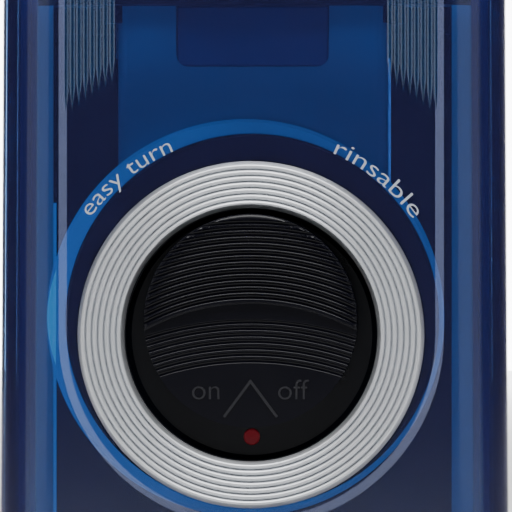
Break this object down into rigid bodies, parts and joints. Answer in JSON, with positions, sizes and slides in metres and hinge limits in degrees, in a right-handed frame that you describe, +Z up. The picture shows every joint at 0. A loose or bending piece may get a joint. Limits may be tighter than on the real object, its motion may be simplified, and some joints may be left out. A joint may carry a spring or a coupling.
{
  "type": "electric shaver",
  "caption": "Slim battery shaver with a clear blue handle, a thumb dial inside a grooved metal ring, and a lift-off foil head.",
  "frame": {"origin": "middle of the flat base", "axes": "+Z up the handle to the foil, -Y out of the front with the dial, +X to the right of the front"},
  "size_m": [0.0624, 0.0319, 0.1184],
  "materials": {
    "clear_blue": "clear deep-blue moulded plastic, polished",
    "head_blue": "dark blue moulded plastic, satin",
    "black_plastic": "near-black moulded plastic, fine texture",
    "dial_black": "black moulded plastic, semi-gloss",
    "grey_plastic": "grey moulded plastic",
    "pale_plastic": "pale blue-grey moulded plastic",
    "white_plastic": "off-white acetal plastic",
    "red_dot": "red filled index dot",
    "ring_metal": "turned satin aluminium with concentric grooves",
    "foil_metal": "perforated thin steel foil",
    "steel": "bright steel",
    "contact_metal": "plated spring brass",
    "copper": "varnished copper winding",
    "cell_wrap": "plain printed metal jacket",
    "board_green": "solder-masked circuit board",
    "rubber_black": "soft black rubber"
  },
  "bodies": {
    "handle": {"front_shell": "clear_blue", "rear_shell": "clear_blue", "silver_ring": "ring_metal", "switch_bowl": "dial_black", "index_dot": "red_dot", "dial_seal": "rubber_black", "circuit_board": "board_green", "inner_chassis": "black_plastic", "top_contact_plate": "contact_metal", "top_contact_spring": "steel", "motor_carrier": "pale_plastic", "motor_can": "steel", "motor_end_bell": "white_plastic", "drive_seal": "rubber_black", "top_deck": "black_plastic", "deck_gasket": "rubber_black", "head_base": "black_plastic", "contact_blade_left": "contact_metal", "battery_left": "cell_wrap", "contact_strip_left": "contact_metal", "board_screw_left": "steel", "release_spring_left": "steel", "deck_screw_front_left": "steel", "deck_screw_rear_left": "steel", "contact_blade_right": "contact_metal", "battery_right": "cell_wrap", "contact_strip_right": "contact_metal", "board_screw_right": "steel", "release_spring_right": "steel", "deck_screw_front_right": "steel", "deck_screw_rear_right": "steel"},
    "dial": {"dial": "dial_black", "dial_spindle": "steel", "switch_cam": "white_plastic", "dial_clip": "steel"},
    "rotor": {"motor_shaft": "steel", "armature": "copper", "eccentric": "white_plastic"},
    "drive": {"drive_bridge": "black_plastic"},
    "cutter": {"cutter_block": "steel", "cutter_carrier": "white_plastic", "cutter_spring": "steel"},
    "cassette": {"foil_cassette": "head_blue"},
    "foil_unit": {"foil_frame": "grey_plastic", "foil": "foil_metal"},
    "base_cap": {"battery_cap": "black_plastic", "cap_seal": "rubber_black", "cap_bridge": "contact_metal", "cap_spring": "steel"},
    "button_left": {"release_button_left": "grey_plastic"},
    "button_right": {"release_button_right": "grey_plastic"}
  },
  "joints": [
    {"name": "dial_turn", "type": "hinge", "parent": "handle", "child": "dial", "pos_m": [0, -0.014, 0.0537], "axis": [0, -1, 0], "range_deg": [-32, 32]},
    {"name": "motor_spin", "type": "hinge", "parent": "handle", "child": "rotor", "pos_m": [0, 0.0004, 0.08], "axis": [0, 0, 1], "continuous": true},
    {"name": "cutter_stroke", "type": "slide", "parent": "handle", "child": "drive", "axis": [1, 0, 0], "range_m": [-0.0012, 0.0012]},
    {"name": "cutter_float", "type": "slide", "parent": "drive", "child": "cutter", "axis": [0, 0, 1], "range_m": [-0.0015, 0], "deforming": ["cutter_spring"]},
    {"name": "cassette_lift", "type": "slide", "parent": "handle", "child": "cassette", "axis": [0, 0, 1], "range_m": [0, 0.015]},
    {"name": "foil_float", "type": "slide", "parent": "cassette", "child": "foil_unit", "axis": [0, 0, 1], "range_m": [-0.0015, 0], "stiffness_N_per_m": 400, "springref_m": 0.0005},
    {"name": "base_cap_pull", "type": "slide", "parent": "handle", "child": "base_cap", "axis": [0, 0, -1], "range_m": [0, 0.025]},
    {"name": "release_left", "type": "slide", "parent": "handle", "child": "button_left", "axis": [1, 0, 0], "range_m": [0, 0.0012], "stiffness_N_per_m": 600, "springref_m": -0.0005},
    {"name": "release_right", "type": "slide", "parent": "handle", "child": "button_right", "axis": [-1, 0, 0], "range_m": [0, 0.0012], "stiffness_N_per_m": 600, "springref_m": -0.0005}
  ],
  "couplings": [
    {"joint": "cutter_float", "follows": "foil_float", "ratio": 1}
  ]
}
